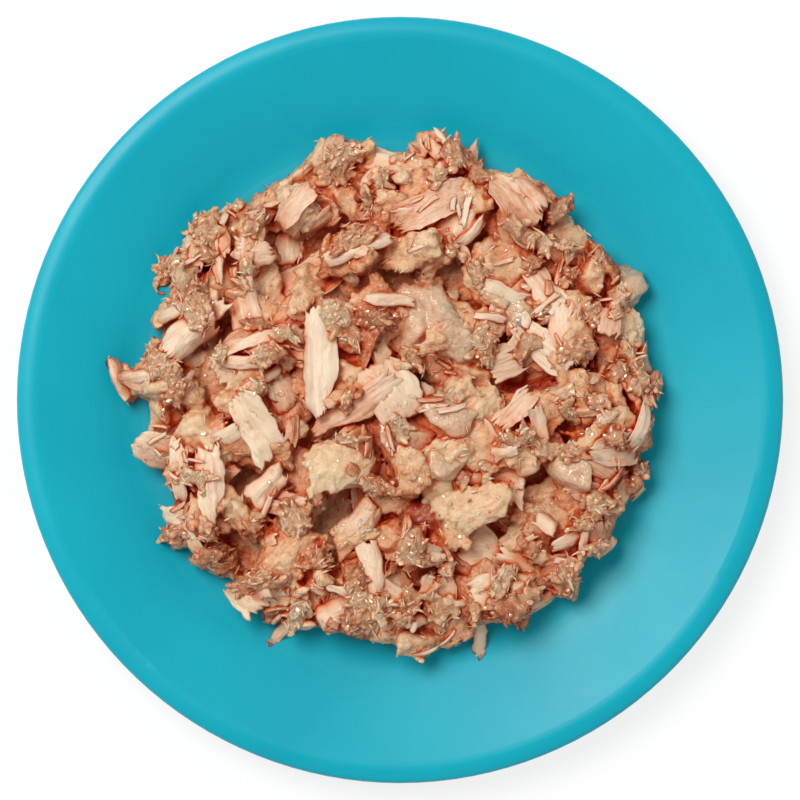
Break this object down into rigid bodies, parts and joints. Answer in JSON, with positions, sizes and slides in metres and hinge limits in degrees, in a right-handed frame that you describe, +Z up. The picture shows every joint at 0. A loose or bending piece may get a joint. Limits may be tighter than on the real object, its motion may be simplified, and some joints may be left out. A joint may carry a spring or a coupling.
{
  "type": "plate of flaked cat food",
  "caption": "Round glazed coupe plate with a low, ragged heap of flaked fish cat food in jelly in its middle.",
  "frame": {"origin": "centre of the foot ring, where the plate stands on the table", "axes": "+Z up out of the plate, +X and +Y level, with the long stray flake of the heap towards -X"},
  "size_m": [0.15, 0.15, 0.0242],
  "materials": {
    "glaze": "gloss",
    "fish": "satin"
  },
  "bodies": {
    "root": {"plate": "glaze", "fish_heap": "fish"}
  },
  "joints": []
}
